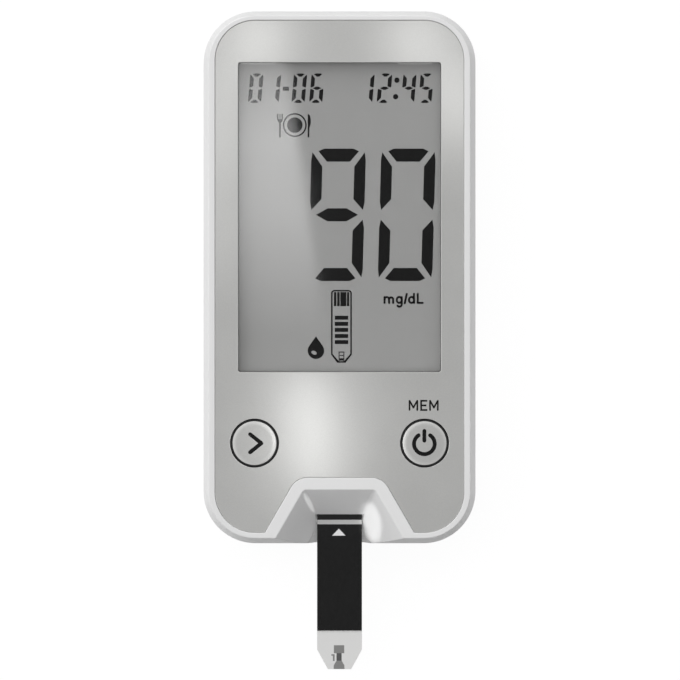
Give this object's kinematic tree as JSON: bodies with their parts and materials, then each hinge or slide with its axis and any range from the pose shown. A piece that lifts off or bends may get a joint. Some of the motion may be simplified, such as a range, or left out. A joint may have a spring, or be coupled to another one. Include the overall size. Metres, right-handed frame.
{
  "type": "blood glucose meter",
  "caption": "Slim handheld blood glucose meter with a large segment display, round keys, a funnel-shaped port and an inserted test strip.",
  "frame": {"origin": "middle of the footprint of the case and the inserted strip, at the height of the case's back", "axes": "+X to the right of the display, +Y to the top of the display, +Z out of the display; the test strip points to -Y"},
  "size_m": [0.046, 0.1112, 0.015],
  "materials": {
    "white_case": "satin moulded white ABS",
    "silver_plate": "satin silver lacquer on plastic",
    "clear_pane": "clear polished acrylic",
    "lcd_glass": "grey reflective segment display",
    "white_inner": "plain moulded white",
    "elastomer": "soft silicone rubber",
    "board": "green solder mask",
    "chip_black": "moulded epoxy",
    "steel": "plain plated steel",
    "cell_can": "polished metal can",
    "gold": "gold plated spring",
    "black_plastic": "satin black",
    "strip_white": "white polyester film",
    "strip_black": "black printed film"
  },
  "bodies": {
    "meter": {"front_housing": "white_case", "rear_housing": "white_case", "face_plate": "silver_plate", "display_pane": "clear_pane", "lcd_front_glass": "lcd_glass", "lcd_rear_glass": "lcd_glass", "lcd_tray": "white_inner", "elastomer_connector": "elastomer", "main_board": "board", "processor_chip": "chip_black", "amplifier_chip": "chip_black", "crystal_can": "steel", "temperature_sensor": "chip_black", "buzzer": "chip_black", "strip_connector": "black_plastic", "strip_contact_1": "gold", "strip_contact_2": "gold", "strip_contact_3": "gold", "strip_contact_4": "gold", "strip_contact_5": "gold", "coin_cell_upper": "cell_can", "coin_cell_lower": "cell_can", "cell_leaf_upper": "steel", "cell_leaf_lower": "steel", "cell_clip_upper": "steel", "cell_clip_lower": "steel", "switch_scroll_body": "black_plastic", "switch_power_body": "black_plastic", "board_screw_1": "steel", "board_screw_2": "steel", "case_screw_1": "steel", "case_screw_2": "steel", "case_screw_3": "steel", "case_screw_4": "steel"},
    "scroll_key": {"key_scroll_cap": "silver_plate", "key_scroll_carrier": "black_plastic", "switch_scroll_plunger": "black_plastic"},
    "power_key": {"key_power_cap": "silver_plate", "key_power_carrier": "black_plastic", "switch_power_plunger": "black_plastic"},
    "battery_door": {"battery_door": "white_case"},
    "test_strip": {"strip_base": "strip_white", "strip_film": "strip_black"}
  },
  "joints": [
    {"name": "scroll_key_press", "type": "slide", "parent": "meter", "child": "scroll_key", "axis": [0, 0, -1], "range_m": [0, 0.0003], "stiffness_N_per_m": 4000},
    {"name": "power_key_press", "type": "slide", "parent": "meter", "child": "power_key", "axis": [0, 0, -1], "range_m": [0, 0.0003], "stiffness_N_per_m": 4000},
    {"name": "battery_door_hinge", "type": "hinge", "parent": "meter", "child": "battery_door", "pos_m": [0, 0.03828, 0.0009], "axis": [1, 0, 0], "range_deg": [0, 90]},
    {"name": "test_strip_slide", "type": "slide", "parent": "meter", "child": "test_strip", "axis": [0, -1, 0], "range_m": [0, 0.009]}
  ]
}
